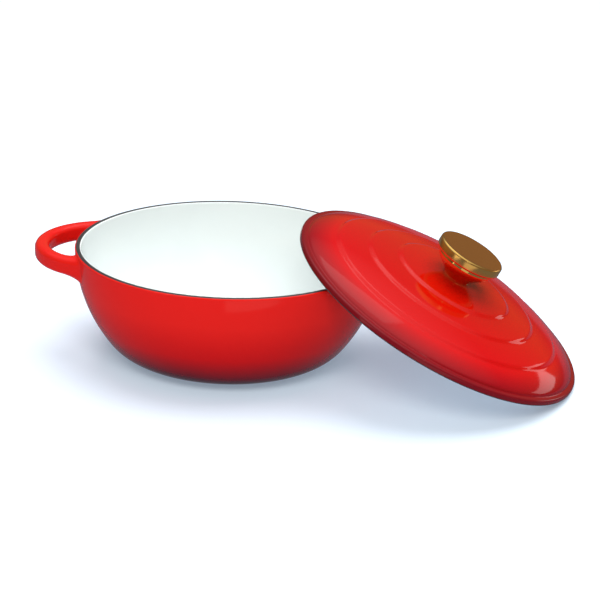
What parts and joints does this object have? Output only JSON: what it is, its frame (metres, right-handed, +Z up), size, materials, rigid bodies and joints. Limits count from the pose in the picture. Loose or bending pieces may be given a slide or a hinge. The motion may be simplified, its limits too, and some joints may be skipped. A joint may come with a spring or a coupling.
{
  "type": "dutch oven",
  "caption": "Round enamelled cast iron pot with two loop handles and a domed lid with raised rings and a screwed-on metal knob; the loose lid leans against the rim.",
  "frame": {"origin": "centre of the pot's foot ring, on the surface it stands on", "axes": "+Z up along the pot's axis; +X along the two loop handles, towards the side where the lid leans; -Z out of the foot ring's flat face"},
  "size_m": [0.4641, 0.2674, 0.1238],
  "materials": {
    "black_iron": "matt black ground coat on cast iron",
    "red_enamel": "glossy red glass enamel, shaded darker to the edges",
    "cream_enamel": "glossy off-white glass enamel",
    "gold_steel": "polished gold-tone plated steel",
    "steel": "satin stainless steel"
  },
  "bodies": {
    "pot": {"pot_casting": "black_iron", "pot_outer_enamel": "red_enamel", "pot_inner_enamel": "cream_enamel"},
    "lid": {"lid_casting": "black_iron", "lid_outer_enamel": "red_enamel", "lid_inner_enamel": "cream_enamel", "knob_cap": "gold_steel", "knob_stem": "gold_steel", "knob_insert": "steel", "knob_screw": "steel", "flat_washer": "steel", "lock_washer": "steel"}
  },
  "joints": [
    {"name": "lid_lift", "type": "slide", "parent": "pot", "child": "lid", "axis": [0, 0, 1], "range_m": [0, 0.25]}
  ]
}
